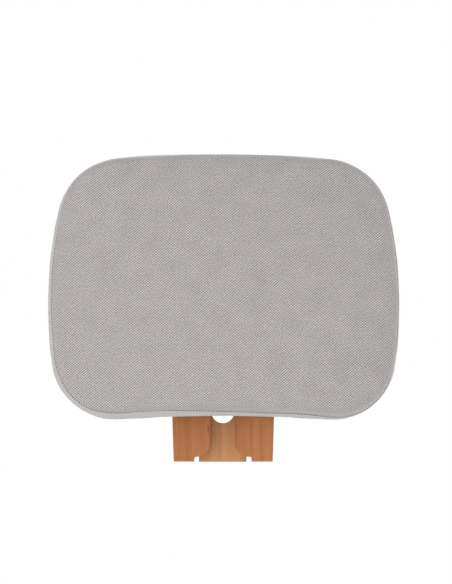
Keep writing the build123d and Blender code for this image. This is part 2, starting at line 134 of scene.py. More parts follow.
# Wood and plywood
SPINE_STRIP_WIDTH = 0.0138
SPINE_STRIP_CHANGE = 0.06
KNOT_PLACE = (-0.0172, 0.0148)
KNOT_HALF_SIZE = (0.0011, 0.0058)
PLY_THICKNESS = 0.0012

# Camera: the photograph's angle, distance and framing
IMAGE_WIDTH = 452
FOCAL_PIXELS = 1941.7
SENSOR_WIDTH = 36.0
CAMERA_TARGET = Vector((0.0018, -0.0900, 0.1683))
CAMERA_DISTANCE = 2.2
CAMERA_AZIMUTH = math.radians(-1.5)
CAMERA_ELEVATION = math.radians(-6.0)

# Stage: floor and light. Each lamp has a name, a place, a side length and a power in watts.
FLOOR_Z = -0.45
FLOOR_RADIUS = 5.0
FLOOR_SEGMENTS = 96
FLOOR_GLOW = 0.3
AMBIENT = 0.68
LAMPS = (
    ("key", (-1.15, -1.9, 0.4), 2.0, 12.8),
    ("side", (1.7, 0.15, 0.2), 1.2, 4.5),
    ("under", (-0.12, -0.75, -0.42), 0.6, 1.3),
    ("back", (0.5, 2.0, 0.8), 1.2, 8.0),
)
WHITE = (1.0, 1.0, 1.0, 1.0)

# Scale on each axis that leaves object coordinates as they are
EVEN = (1.0, 1.0, 1.0)


# Small helpers for meshes


def link(name, data):
    """New object in the scene for a mesh, a light or a camera."""
    made = bpy.data.objects.new(name, data)
    scene.collection.objects.link(made)
    return made


def finished_mesh(name, built):
    """Smooth-shaded mesh from a bmesh, which is freed."""
    mesh = bpy.data.meshes.new(name)
    built.to_mesh(mesh)
    built.free()
    mesh.polygons.foreach_set("use_smooth", np.ones(len(mesh.polygons), dtype=bool))
    return mesh


def baked_mesh(piece):
    """Mesh of an object as its modifiers leave it."""
    graph = bpy.context.evaluated_depsgraph_get()
    return bpy.data.meshes.new_from_object(piece.evaluated_get(graph))


def vertex_array(mesh, channel="co", source="vertices"):
    """Vertex positions or normals of a mesh as rows of x, y, z."""
    values = np.empty(len(getattr(mesh, source)) * 3, dtype=np.float64)
    getattr(mesh, source).foreach_get(channel, values)
    return values.reshape(-1, 3)


def set_vertices(mesh, places):
    """Moves the vertices of a mesh to rows of x, y, z."""
    mesh.vertices.foreach_set("co", np.asarray(places, dtype=np.float32).ravel())
    mesh.update()


# Pad skin


def joined_copy(name, members):
    """One new object with copies of the meshes of several frame nodes."""
    joined = bmesh.new()
    for member in members:
        joined.from_mesh(nodes[member].data)
    mesh = bpy.data.meshes.new(name)
    joined.to_mesh(mesh)
    joined.free()
    return link(name, mesh)


def remeshed(piece):
    """Even, closed mesh over the outside of an object, slightly smoothed."""
    remesh = piece.modifiers.new("even", "REMESH")
    remesh.mode = "VOXEL"
    remesh.voxel_size = VOXEL
    smooth = piece.modifiers.new("ease", "SMOOTH")
    smooth.iterations = VOXEL_SMOOTHING
    mesh = baked_mesh(piece)
    piece.modifiers.clear()
    piece.data = mesh
    return piece


def eased(mesh, moved):
    """Vertex movements averaged over their neighbours, so that no sharp crease is left in them."""
    ends = np.empty(len(mesh.edges) * 2, dtype=np.int64)
    mesh.edges.foreach_get("vertices", ends)
    first, second = ends.reshape(-1, 2).T
    count = np.bincount(ends, minlength=len(moved))[:, None]
    for _ in range(EASE_PASSES):
        near = np.zeros_like(moved)
        np.add.at(near, first, moved[second])
        np.add.at(near, second, moved[first])
        moved = (moved + near / count) / 2
    return moved


def fill_out(piece):
    """Shrinks the soft front of the skin a little and lets cloth pressure push it out again."""
    mesh = piece.data
    start = vertex_array(mesh)
    normals = vertex_array(mesh, "vector", "vertex_normals")
    soft = np.clip((PAD_BACK_Y - start[:, 1] - BOARD_FREE / 2) / BOARD_FREE, 0.0, 1.0)
    facing = np.clip(-normals[:, 1], 0.0, 1.0) ** 2
    start -= normals * (START_SHRINK * soft * facing)[:, None]
    set_vertices(mesh, start)

    held = piece.vertex_groups.new(name="held")
    for index, share in enumerate(soft):
        held.add([index], 1.0 - share, "REPLACE")
    cloth = piece.modifiers.new("swell", "CLOTH")
    cloth.settings.vertex_group_mass = held.name
    cloth.settings.use_pressure = True
    cloth.settings.uniform_pressure_force = PRESSURE
    cloth.settings.effector_weights.gravity = 0.0
    cloth.point_cache.frame_start = 1
    cloth.point_cache.frame_end = SWELL_FRAMES
    for number in range(1, SWELL_FRAMES + 1):
        scene.frame_set(number)
    swelled = vertex_array(baked_mesh(piece))
    piece.modifiers.clear()
    scene.frame_set(1)

    moved = eased(mesh, swelled - start)
    length = np.linalg.norm(moved, axis=1, keepdims=True)
    moved *= np.minimum(1.0, SWELL_CAP / np.maximum(length, NO_LENGTH))
    set_vertices(mesh, start + moved)


def pad_skin():
    """Outer surface of the pad as a tree for ray casts."""
    piece = remeshed(joined_copy("pad_skin", SOFT_NODES))
    fill_out(piece)
    finer = piece.modifiers.new("finer", "SUBSURF")
    finer.levels = 1
    mesh = baked_mesh(piece)
    tree = BVHTree.FromPolygons(
        [vertex.co.copy() for vertex in mesh.vertices],
        [tuple(face.vertices) for face in mesh.polygons],
    )
    bpy.data.objects.remove(piece)
    return tree


def cast(tree, origin, way):
    """Distance from a point inside the skin to its outside, along a unit direction."""
    _, _, _, distance = tree.ray_cast(origin + way * RAY_REACH, -way)
    return RAY_REACH - distance


def smoothed(values, axis, passes, wrap):
    """Averages an array with its neighbours along one axis; wrap joins its two ends."""
    for _ in range(passes):
        if wrap:
            before = np.roll(values, 1, axis)
            after = np.roll(values, -1, axis)
        else:
            padded = np.concatenate(
                (np.take(values, [0], axis), values, np.take(values, [-1], axis)), axis
            )
            count = padded.shape[axis]
            before = np.take(padded, range(0, count - 2), axis)
            after = np.take(padded, range(2, count), axis)
        values = (before + 2 * values + after) / 4
    return values


def smooth_step(share):
    """Share from 0 to 1 with level ends."""
    return share**2 * (3 - 2 * share)


class PadForm:
    """The pad's outline, and its section from front to back at each of COLUMNS places round it."""

    def __init__(self, tree):
        self.tree = tree
        self.find_outline()
        self.find_sections()

    def find_outline(self):
        """Points evenly spaced round the outline, their outward directions, and anchors inside them."""
        last_angle = FIRST_COLUMN_ANGLE + 2 * math.pi
        angles = np.linspace(FIRST_COLUMN_ANGLE, last_angle, OUTLINE_RAYS, endpoint=False)
        reach = np.array(
            [cast(self.tree, PAD_CENTRE, Vector((math.cos(a), 0.0, math.sin(a)))) for a in angles]
        )
        reach = smoothed(reach, 0, OUTLINE_PASSES, True)
        dense = np.column_stack((np.cos(angles) * reach, PAD_CENTRE.z + np.sin(angles) * reach))
        steps = np.linalg.norm(np.roll(dense, -1, 0) - dense, axis=1)
        along = np.concatenate(([0.0], np.cumsum(steps)))
        closed = np.vstack((dense, dense[:1]))
        self.perimeter = along[-1]
        self.round = np.arange(COLUMNS) * self.perimeter / COLUMNS
        outline = np.column_stack([np.interp(self.round, along, closed[:, k]) for k in (0, 1)])
        ahead = np.roll(outline, -1, 0) - np.roll(outline, 1, 0)
        outward = np.column_stack((ahead[:, 1], -ahead[:, 0]))
        outward = smoothed(outward, 0, OUTWARD_PASSES, True)
        self.outward = outward / np.linalg.norm(outward, axis=1, keepdims=True)
        self.anchors = outline - self.outward * RIM_INSET

    def find_sections(self):
        """Fans of rays from each anchor, from the front round the rim to the back."""
        turns = np.linspace(0.0, math.pi, FAN_STEPS)
        reach = np.empty((COLUMNS, FAN_STEPS))
        for column in range(COLUMNS):
            x, z = self.anchors[column]
            out_x, out_z = self.outward[column]
            anchor = Vector((x, PAD_CENTRE.y, z))
            for step, turn in enumerate(turns):
                out = math.sin(turn)
                way = Vector((out_x * out, -math.cos(turn), out_z * out))
                reach[column, step] = cast(self.tree, anchor, way)
        reach = smoothed(reach, 0, SECTION_PASSES_ROUND, True)
        reach = smoothed(reach, 1, SECTION_PASSES_ALONG, False)
        self.out = reach * np.sin(turns) * (1.0 + RIM_GROWTH / RIM_INSET)
        self.depth = PAD_CENTRE.y - reach * np.cos(turns)
        steps = np.hypot(np.diff(self.out, axis=1), np.diff(self.depth, axis=1))
        self.run = np.hstack((np.zeros((COLUMNS, 1)), np.cumsum(steps, axis=1)))
        self.front_seam = self.run_where(self.depth - self.seam_depth())
        self.rear_seam = self.run_where(self.depth - (self.back_depth() - REAR_SEAM_FROM_BACK))

    def plan(self):
        """Places of the section points across the front, as x and z."""
        x = self.anchors[:, :1] + self.outward[:, :1] * self.out
        z = self.anchors[:, 1:] + self.outward[:, 1:] * self.out
        return x, z

    def seam_depth(self):
        """y of the front seam's surface under each section point: the crown, set back and askew."""
        x, z = self.plan()
        crown = (x**2 + (z - CROWN_HEIGHT) ** 2) / (2 * CROWN_RADIUS)
        skew = SEAM_SKEW_X * x + SEAM_SKEW_Z * (z - CROWN_HEIGHT)
        low = np.clip((HANG_TOP_Z - z) / HANG_SPAN_Z, 0.0, 1.0)
        right = np.clip((x - HANG_LEFT_X) / HANG_SPAN_X, 0.0, 1.0)
        hang = HANG_DEPTH * smooth_step(low) * smooth_step(right)
        return PAD_FRONT_Y + SEAM_BEHIND_FRONT + skew + hang + crown

    def back_depth(self):
        """y of the pad's curved back over each section point."""
        x, _ = self.plan()
        return PAD_BACK_Y - x**2 / (2 * BACK_CURVE_RADIUS)

    def run_where(self, rising):
        """Distance along each section at which a rising value passes zero, behind its front."""
        behind = slice(FAN_FRONT_STEPS, None)
        return np.array(
            [np.interp(0.0, rising[c, behind], self.run[c, behind]) for c in range(COLUMNS)]
        )

    def rows(self, runs, lift):
        """Points at distances along every section, moved outwards by lift, in rows of COLUMNS."""
        points = np.empty((len(runs), COLUMNS, 3))
        for column in range(COLUMNS):
            run = self.run[column]
            at = np.array([distances[column] for distances in runs])
            out = np.interp(at, run, self.out[column])
            depth = np.interp(at, run, self.depth[column])
            slope_out = np.interp(at, run, np.gradient(self.out[column], run))
            slope_depth = np.interp(at, run, np.gradient(self.depth[column], run))
            size = np.hypot(slope_out, slope_depth)
            raise_by = np.array([heights[column] for heights in lift])
            out = out + raise_by * slope_depth / size
            depth = depth - raise_by * slope_out / size
            points[:, column, 0] = self.anchors[column, 0] + self.outward[column, 0] * out
            points[:, column, 1] = depth
            points[:, column, 2] = self.anchors[column, 1] + self.outward[column, 1] * out
        return points


# Pad covers


def seam_lift(distance, form, seam_depth):
    """How far a cover stands off its smooth form beside a seam: drawn in, with puckers along it."""
    drawn = -seam_depth * math.exp(-((distance / SEAM_WIDTH) ** 2))
    pucker = PUCKER_DEPTH * math.exp(-((distance / PUCKER_WIDTH) ** 2))
    count = round(form.perimeter / PUCKER_LENGTH)
    return drawn + pucker * np.sin(2 * math.pi * count * form.round / form.perimeter)


def seam_side(form, seam, side, seam_depth, room=1.0):
    """Rows on one side of a seam, the nearest first: distances along the sections, and lifts."""
    runs = [seam + side * distance * room for distance in SEAM_ROWS]
    lift = [seam_lift(distance, form, seam_depth) for distance in SEAM_ROWS]
    return runs, lift


def plain_rows(start, end):
    """Rows from start to end, away from seams, in equal steps of about RIM_ROW_STEP: no lift."""
    count = max(2, round(float(np.mean(end - start)) / RIM_ROW_STEP))
    runs = [start + (end - start) * k / count for k in range(count + 1)]
    lift = [np.zeros(COLUMNS) for _ in runs]
    return runs, lift


def ring_place(i, j):
    """Ring number of a square grid point, and its share of the way round that ring."""
    ring = max(abs(i), abs(j))
    if ring == 0:
        return 0, 0.0
    if i == ring and j < ring:
        steps = j + ring
    elif j == ring and i > -ring:
        steps = 2 * ring + (ring - i)
    elif i == -ring and j > -ring:
        steps = 4 * ring + (ring - j)
    else:
        steps = 6 * ring + (i + ring)
    return ring, steps / (8 * ring)


def middle_grid(form, edge, side):
    """Square grid of points inside the anchors, on the skin's front (side -1) or back (side 1)."""
    span_steps = range(-GRID_RINGS, GRID_RINGS + 1)
    closed = np.vstack((form.anchors, form.anchors[:1]))
    shares = np.linspace(0.0, 1.0, COLUMNS + 1)
    way = Vector((0.0, float(side), 0.0))
    centre = np.array((PAD_CENTRE.x, PAD_CENTRE.z))
    points = np.empty((len(span_steps), len(span_steps), 3))
    for i in span_steps:
        for j in span_steps:
            ring, share = ring_place(i, j)
            rim = np.array([np.interp(share, shares, closed[:, k]) for k in (0, 1)])
            x, z = centre + (rim - centre) * ring / GRID_RINGS
            depth = PAD_CENTRE.y + side * cast(form.tree, Vector((x, PAD_CENTRE.y, z)), way)
            points[i + GRID_RINGS, j + GRID_RINGS] = (x, depth, z)
    for axis in (0, 1):
        points[:, :, 1] = smoothed(points[:, :, 1], axis, MIDDLE_PASSES, False)
    for i in span_steps:
        for j in span_steps:
            ring, share = ring_place(i, j)
            if ring == GRID_RINGS:
                column = round(share * COLUMNS) % COLUMNS
                points[i + GRID_RINGS, j + GRID_RINGS] = edge[column]
    return points


def grid_faces(corners, i, j, size):
    """Faces of one grid cell: one on a diagonal, nearly flat at its outer corner, is cut there."""
    if i == j:
        return [corners[:3], [corners[0], corners[2], corners[3]]]
    if i + j == size - 2:
        return [corners[1:], [corners[0], corners[1], corners[3]]]
    return [corners]


def cover_mesh(name, rows, cloth_rows, middle=None, middle_first=True):
    """Mesh of a cover from rows of COLUMNS points, closed by any middle grid at one end."""
    built = bmesh.new()
    layer = built.verts.layers.float_vector.new("cloth")

    def vertex(place, cloth):
        made = built.verts.new(place)
        made[layer] = (cloth[0], cloth[1], 0.0)
        return made

    bands = [
        [vertex(rows[r, c], cloth_rows[r, c]) for c in range(COLUMNS)] for r in range(len(rows))
    ]
    for lower, upper in zip(bands, bands[1:]):
        for c in range(COLUMNS):
            after = (c + 1) % COLUMNS
            built.faces.new((lower[c], upper[c], upper[after], lower[after]))
    if middle is not None:
        rim = bands[0] if middle_first else bands[-1]
        size = 2 * GRID_RINGS + 1
        flat = {}
        for i in range(size):
            for j in range(size):
                ring, share = ring_place(i - GRID_RINGS, j - GRID_RINGS)
                if ring == GRID_RINGS:
                    flat[i, j] = rim[round(share * COLUMNS) % COLUMNS]
                else:
                    flat[i, j] = vertex(middle[i, j], (middle[i, j][0], middle[i, j][2]))
        for i in range(size - 1):
            for j in range(size - 1):
                corners = [flat[i, j], flat[i + 1, j], flat[i + 1, j + 1], flat[i, j + 1]]
                for face in grid_faces(corners, i, j, size):
                    built.faces.new(face if middle_first else face[::-1])
    return finished_mesh(name, built)


def cover_piece(name, mesh, material, replaced):
    """Cover that rides on the pad, with the thickness of its cloth."""
    piece = link(name, mesh)
    mesh.materials.append(material)
    thick = piece.modifiers.new("thickness", "SOLIDIFY")
    thick.thickness = COVER_THICKNESS
    thick.offset = -1.0
    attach(piece, "pad")
    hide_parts(*replaced)


def wrapped_cloth(form, runs, front):
    """Cloth coordinates of rows that run straight out from the middle of a panel and over its rim."""
    rows = np.empty((len(runs), COLUMNS, 2))
    for r, run in enumerate(runs):
        away = run if front else form.run[:, -1] - run
        rows[r] = form.anchors + form.outward * away[:, None]
    return rows


def make_front_panel(form, material):
    """Ribbed panel over the front of the pad, out to the front seam."""
    runs, lift = plain_rows(np.zeros(COLUMNS), form.front_seam - SEAM_ROWS_END)
    seam_runs, seam_lifts = seam_side(form, form.front_seam, -1, FRONT_SEAM_DEPTH)
    runs += reversed(seam_runs)
    lift += reversed(seam_lifts)
    rows = form.rows(runs, lift)
    middle = middle_grid(form, rows[0], -1)
    mesh = cover_mesh("front_panel", rows, wrapped_cloth(form, runs, True), middle)
    cover_piece("front_panel", mesh, material, ("front_cover", "foam_core"))


def make_side_strip(form, material):
    """Smooth strip round the rim, between the two seams; its rows close up where it is narrow."""
    room = np.minimum(1.0, BAND_SHARE * (form.rear_seam - form.front_seam) / (2 * SEAM_ROWS_END))
    edge = SEAM_ROWS_END * room
    runs, lift = seam_side(form, form.front_seam, 1, FRONT_SEAM_DEPTH, room)
    plain_runs, plain_lifts = plain_rows(form.front_seam + edge, form.rear_seam - edge)
    rear_runs, rear_lifts = seam_side(form, form.rear_seam, -1, REAR_SEAM_DEPTH, room)
    runs += plain_runs + rear_runs[::-1]
    lift += plain_lifts + rear_lifts[::-1]
    cloth_rows = np.empty((len(runs), COLUMNS, 2))
    for r, run in enumerate(runs):
        cloth_rows[r, :, 0] = form.round
        cloth_rows[r, :, 1] = form.front_seam - run
    mesh = cover_mesh("side_strip", form.rows(runs, lift), cloth_rows)
    cover_piece("side_strip", mesh, material, ("side_band",))


def make_rear_panel(form, material):
    """Ribbed panel over the back of the pad, from the rear seam inwards."""
    runs, lift = seam_side(form, form.rear_seam, 1, REAR_SEAM_DEPTH)
    plain_runs, plain_lifts = plain_rows(form.rear_seam + SEAM_ROWS_END, form.run[:, -1])
    runs += plain_runs
    lift += plain_lifts
    rows = form.rows(runs, lift)
    middle = middle_grid(form, rows[-1], 1)
    mesh = cover_mesh("rear_panel", rows, wrapped_cloth(form, runs, False), middle, middle_first=False)
    cover_piece("rear_panel", mesh, material, ("rear_cover",))


def add_stitch(built, rings):
    """Closed tube through the rings of one stitch."""
    for near_ring, far_ring in zip(rings, rings[1:]):
        for k in range(STITCH_SIDES):
            after = (k + 1) % STITCH_SIDES
            built.faces.new((near_ring[k], near_ring[after], far_ring[after], far_ring[k]))
    built.faces.new(rings[0][::-1])
    built.faces.new(rings[-1])


def make_stitches(name, form, seam, thread_depth, material):
    """Short thread stitches lying in a seam, one loop of them round the pad."""
    centres = form.rows([seam], [np.full(COLUMNS, -thread_depth)])[0]
    outer = form.rows([seam], [np.full(COLUMNS, STITCH_RADIUS)])[0]
    closed = np.vstack((centres, centres[:1]))
    lifted = np.vstack((outer, outer[:1])) - closed
    along = np.concatenate(([0.0], np.cumsum(np.linalg.norm(np.diff(closed, axis=0), axis=1))))
    count = round(along[-1] / STITCH_PITCH)

    def at(values, distance):
        return np.array([np.interp(distance % along[-1], along, values[:, k]) for k in range(3)])

    built = bmesh.new()
    for number in range(count):
        middle = number * along[-1] / count
        up = at(lifted, middle)
        up /= np.linalg.norm(up)
        rings = []
        for share, girth in STITCH_RINGS:
            place = at(closed, middle + share * STITCH_LENGTH)
            ahead = at(closed, middle + share * STITCH_LENGTH + STITCH_RADIUS) - place
            side = np.cross(ahead / np.linalg.norm(ahead), up)
            ring = []
            for k in range(STITCH_SIDES):
                angle = 2 * math.pi * k / STITCH_SIDES
                offset = up * math.cos(angle) + side * math.sin(angle)
                ring.append(built.verts.new(place + offset * girth * STITCH_RADIUS))
            rings.append(ring)
        add_stitch(built, rings)
    bmesh.ops.recalc_face_normals(built, faces=built.faces)
    mesh = finished_mesh(name, built)
    mesh.materials.append(material)
    piece = link(name, mesh)
    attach(piece, "pad")


# Small helpers for node materials


def new_material(name, **constants):
    """Material with a Principled shader; constants name its sockets with underscores for spaces."""
    made = bpy.data.materials.new(name)
    made.use_nodes = True
    shader = made.node_tree.nodes["Principled BSDF"]
    for socket, value in constants.items():
        shader.inputs[socket.replace("_", " ")].default_value = value
    return made, made.node_tree, shader


def add(tree, kind, inputs=None, **settings):
    """New shader node with its settings, and with values or links on its inputs."""
    made = tree.nodes.new("ShaderNode" + kind)
    for key, value in settings.items():
        setattr(made, key, value)
    for key, value in (inputs or {}).items():
        if isinstance(value, bpy.types.NodeSocket):
            tree.links.new(value, made.inputs[key])
        else:
            made.inputs[key].default_value = value
    return made


def maths(tree, operation, *values):
    """Result of a math node."""
    return add(tree, "Math", dict(enumerate(values)), operation=operation).outputs[0]


def wave(tree, turns):
    """Sine, from -1 to 1, of an angle in turns."""
    return maths(tree, "SINE", maths(tree, "MULTIPLY", turns, 2 * math.pi))


def noise(tree, vector, scale, detail=2.0, roughness=0.5):
    """Noise value from 0 to 1 round 0.5."""
    inputs = {"Vector": vector, "Scale": scale, "Detail": detail, "Roughness": roughness}
    return add(tree, "TexNoise", inputs).outputs["Fac"]


def span(tree, value, low=0.0, high=1.0, from_low=0.3, from_high=0.7):
    """Value stretched from one range to another and held inside it."""
    inputs = {0: value, 1: from_low, 2: from_high, 3: low, 4: high}
    return add(tree, "MapRange", inputs).outputs[0]


def mixed(tree, share, first, second, blend_type="MIX"):
    """Mix of two colours, which are inputs 6 and 7 and output 2 of a mix node."""
    inputs = {0: share, 6: first, 7: second}
    return add(tree, "Mix", inputs, data_type="RGBA", blend_type=blend_type).outputs[2]


def scaled(tree, colour_in, factor):
    """Colour times a grey factor."""
    grey = add(tree, "CombineColor", {0: factor, 1: factor, 2: factor}).outputs[0]
    return mixed(tree, 1.0, colour_in, grey, "MULTIPLY")


def object_place(tree):
    """Object coordinates."""
    return add(tree, "TexCoord").outputs["Object"]


def stretched(tree, scale):
    """Object coordinates stretched by a scale on each axis."""
    return add(tree, "Mapping", {"Vector": object_place(tree), "Scale": scale}).outputs["Vector"]


def split(tree, vector):
    """The x, y and z of a vector."""
    return add(tree, "SeparateXYZ", {0: vector}).outputs


def bump(tree, height, distance, strength=1.0):
    """Normal bent by a height from 0 to 1."""
    inputs = {"Height": height, "Distance": distance, "Strength": strength}
    return add(tree, "Bump", inputs).outputs["Normal"]


def colour(red, green, blue):
    """Linear colour from 8-bit screen values, by the sRGB curve."""
    def linear(level):
        share = level / 255
        return share / 12.92 if share <= 0.04045 else ((share + 0.055) / 1.055) ** 2.4

    return (linear(red), linear(green), linear(blue), 1.0)


# Materials


def twill_cloth(name, dark, light, contrast, warm_shift):
    """Ribbed twill: slanting ribs of yarn floats, uneven in strength, with a faint mottle; its hollows
    carry painted shade.
    """
    made, tree, shader = new_material(
        name, Roughness=0.92, Sheen_Weight=0.3, Sheen_Roughness=0.4, Specular_IOR_Level=0.2
    )
    cloth = add(tree, "Attribute", attribute_name="cloth").outputs["Vector"]
    x, z, _ = split(tree, cloth)
    across = maths(tree, "DIVIDE", x, RIB_REPEAT_X)
    up = maths(tree, "DIVIDE", z, RIB_REPEAT_Z)

    # Ribs slant one way, fainter floats cross them, and both come and go over the cloth
    waver = span(tree, noise(tree, cloth, scale=70.0), low=-0.12, high=0.12)
    rib = wave(tree, maths(tree, "ADD", maths(tree, "SUBTRACT", across, up), waver))
    strength = span(tree, noise(tree, cloth, scale=85.0), low=0.45 * contrast, high=1.05 * contrast)
    floats = wave(tree, maths(tree, "ADD", across, up))
    crossing = span(tree, noise(tree, cloth, scale=50.0), low=0.08 * contrast, high=0.5 * contrast)
    ribbed = maths(tree, "MULTIPLY_ADD", rib, strength, maths(tree, "MULTIPLY", floats, crossing))
    yarn = wave(tree, maths(tree, "DIVIDE", x, YARN_PITCH))
    woven = maths(tree, "MULTIPLY_ADD", yarn, YARN_SHARE, ribbed)
    fleck = span(tree, noise(tree, cloth, scale=560.0, detail=1.0), low=-0.3, high=0.3)

    # Colour: from -1 in the hollows to 1 on the ribs, the yarn pattern plus painted shade in the
    # hollows; then a mottle of warmer and lighter patches
    level = maths(tree, "MULTIPLY_ADD", maths(tree, "ADD", woven, fleck), 0.5, 0.5)
    tone = mixed(tree, level, dark, light)
    warm_tint = (1.0 + warm_shift, 1.0 - warm_shift / 2, 1.0, 1.0)
    cool_tint = (1.0 - warm_shift, 1.0 + warm_shift / 2, 1.0 - warm_shift / 2, 1.0)
    tint = mixed(tree, span(tree, noise(tree, cloth, scale=60.0)), warm_tint, cool_tint)
    tinted = mixed(tree, 1.0, tone, tint, "MULTIPLY")
    mottle = span(tree, noise(tree, cloth, scale=42.0, detail=3.0), low=0.955, high=1.045)
    tree.links.new(scaled(tree, tinted, mottle), shader.inputs["Base Color"])

    height = maths(tree, "MULTIPLY_ADD", woven, RELIEF_GAIN, 0.5)
    relief = bump(tree, height, distance=0.00025, strength=0.5)
    tree.links.new(relief, shader.inputs["Normal"])
    return made


def thread():
    """Twisted grey sewing thread; its dark grey is partly thread colour and partly painted shade of the
    seam's groove.
    """
    made, tree, shader = new_material("seam_thread", Roughness=0.8, Sheen_Weight=0.1)
    shade = span(tree, noise(tree, stretched(tree, EVEN), scale=600.0), low=0.75, high=1.2)
    # Dark grey thread colour: partly the thread's own, partly painted shade in the seam groove
    tree.links.new(scaled(tree, colour(116, 112, 109), shade), shader.inputs["Base Color"])
    return made


def strip_shade(tree, x, width, change):
    """Shade of glued strips side by side, each a little lighter or darker than the next."""
    number = maths(tree, "FLOOR", maths(tree, "DIVIDE", x, width))
    chance = add(tree, "TexWhiteNoise", {"W": number}, noise_dimensions="1D").outputs["Value"]
    return span(tree, chance, low=1.0 - change, high=1.0 + change, from_low=0.0, from_high=1.0)


def knot_share(tree, x, z):
    """Share of a knot's colour: most in the middle of a small upright oval, none outside it."""
    off_x = maths(tree, "DIVIDE", maths(tree, "SUBTRACT", x, KNOT_PLACE[0]), KNOT_HALF_SIZE[0])
    off_z = maths(tree, "DIVIDE", maths(tree, "SUBTRACT", z, KNOT_PLACE[1]), KNOT_HALF_SIZE[1])
    square = maths(tree, "MULTIPLY_ADD", off_x, off_x, maths(tree, "MULTIPLY", off_z, off_z))
    away = maths(tree, "SQRT", square)
    return span(tree, away, low=0.8, high=0.0, from_low=0.2, from_high=1.2)


def wood(name, dark, middle, light, strips=None, has_knot=False):
    """Oiled beech with upright grain: broad streaks, fine lines, dark flecks and any glued strips."""
    made, tree, shader = new_material(name, Specular_IOR_Level=0.22)
    broad = noise(tree, stretched(tree, (1.0, 0.6, 0.045)), scale=75.0, detail=4.0, roughness=0.55)
    lines = noise(tree, stretched(tree, (1.0, 1.0, 0.02)), scale=620.0, detail=3.0, roughness=0.6)
    flecks = noise(tree, stretched(tree, (1.0, 1.0, 0.16)), scale=1250.0, detail=1.0)
    x, _, z = split(tree, object_place(tree))

    lower_tone = mixed(tree, span(tree, broad, from_low=0.32, from_high=0.52), dark, middle)
    tone = mixed(tree, span(tree, broad, from_low=0.5, from_high=0.68), lower_tone, light)
    fleck_shade = span(tree, flecks, low=0.84, high=1.0, from_low=0.27, from_high=0.36)
    shade = maths(tree, "MULTIPLY", span(tree, lines, low=0.9, high=1.06), fleck_shade)
    if strips:
        shade = maths(tree, "MULTIPLY", shade, strip_shade(tree, x, *strips))
    toned = scaled(tree, tone, shade)
    if has_knot:
        toned = mixed(tree, knot_share(tree, x, z), toned, colour(118, 66, 34))
    tree.links.new(toned, shader.inputs["Base Color"])

    tree.links.new(span(tree, lines, low=0.5, high=0.38), shader.inputs["Roughness"])
    relief = bump(tree, maths(tree, "MULTIPLY", lines, flecks), distance=0.0002, strength=0.35)
    tree.links.new(relief, shader.inputs["Normal"])
    return made


def plywood():
    """Raw plywood: pale face with upright grain, and plies across its thickness."""
    made, tree, shader = new_material("plywood_finish", Roughness=0.7)
    _, y, _ = split(tree, object_place(tree))
    ply = maths(tree, "PINGPONG", maths(tree, "DIVIDE", y, PLY_THICKNESS), 1.0)
    grain = noise(tree, stretched(tree, (1.0, 1.0, 0.03)), scale=300.0, detail=4.0, roughness=0.6)
    tone = mixed(tree, span(tree, grain), colour(196, 158, 112), colour(222, 190, 146))
    ply_share = span(tree, ply, low=0.0, high=0.3, from_low=0.4, from_high=0.6)
    tone = mixed(tree, ply_share, tone, colour(156, 112, 70))
    tree.links.new(tone, shader.inputs["Base Color"])
    tree.links.new(bump(tree, grain, distance=0.0002, strength=0.4), shader.inputs["Normal"])
    return made


def metal(name, base, low_roughness, high_roughness):
    """Metal with fine working marks along y and a slight bloom."""
    made, tree, shader = new_material(name, Metallic=1.0)
    marks = noise(tree, stretched(tree, (1.0, 0.1, 1.0)), scale=900.0, detail=3.0, roughness=0.6)
    bloom = noise(tree, stretched(tree, EVEN), scale=180.0, detail=3.0)
    shade = span(tree, bloom, low=0.86, high=1.06)
    tree.links.new(scaled(tree, base, shade), shader.inputs["Base Color"])
    tree.links.new(span(tree, marks, low_roughness, high_roughness), shader.inputs["Roughness"])
    tree.links.new(bump(tree, marks, distance=0.00005, strength=0.3), shader.inputs["Normal"])
    return made


def grained(name, dark, light, roughness, grain_scale, grain_height):
    """Moulded or coated surface with a fine pebbled grain."""
    made, tree, shader = new_material(name, Roughness=roughness, Specular_IOR_Level=0.45)
    place = stretched(tree, EVEN)
    wear = noise(tree, place, scale=60.0, detail=3.0)
    grain = noise(tree, place, scale=grain_scale)
    tree.links.new(mixed(tree, span(tree, wear), dark, light), shader.inputs["Base Color"])
    tree.links.new(bump(tree, grain, grain_height, strength=0.6), shader.inputs["Normal"])
    return made


def dress(material, *names):
    """Gives frame nodes a finished material."""
    for name in names:
        for slot in nodes[name].material_slots:
            slot.material = material


def dress_wood():
    """Finishes of the wooden pieces."""
    front_wood = wood(
        "front_wood_finish",
        dark=colour(181, 112, 66),
        middle=colour(190, 123, 76),
        light=colour(199, 135, 87),
        has_knot=True,
    )
    spine_wood = wood(
        "spine_wood_finish",
        dark=colour(202, 143, 94),
        middle=colour(211, 155, 105),
        light=colour(219, 167, 117),
        strips=(SPINE_STRIP_WIDTH, SPINE_STRIP_CHANGE),
    )
    block_wood = wood(
        "block_wood_finish",
        dark=colour(130, 84, 52),
        middle=colour(158, 108, 70),
        light=colour(178, 130, 90),
    )
    dress(front_wood, "fork_plate")
    dress(spine_wood, "spine_slat")
    dress(block_wood, "slide_block")
    dress(plywood(), "back_board", "hinge_cleat")


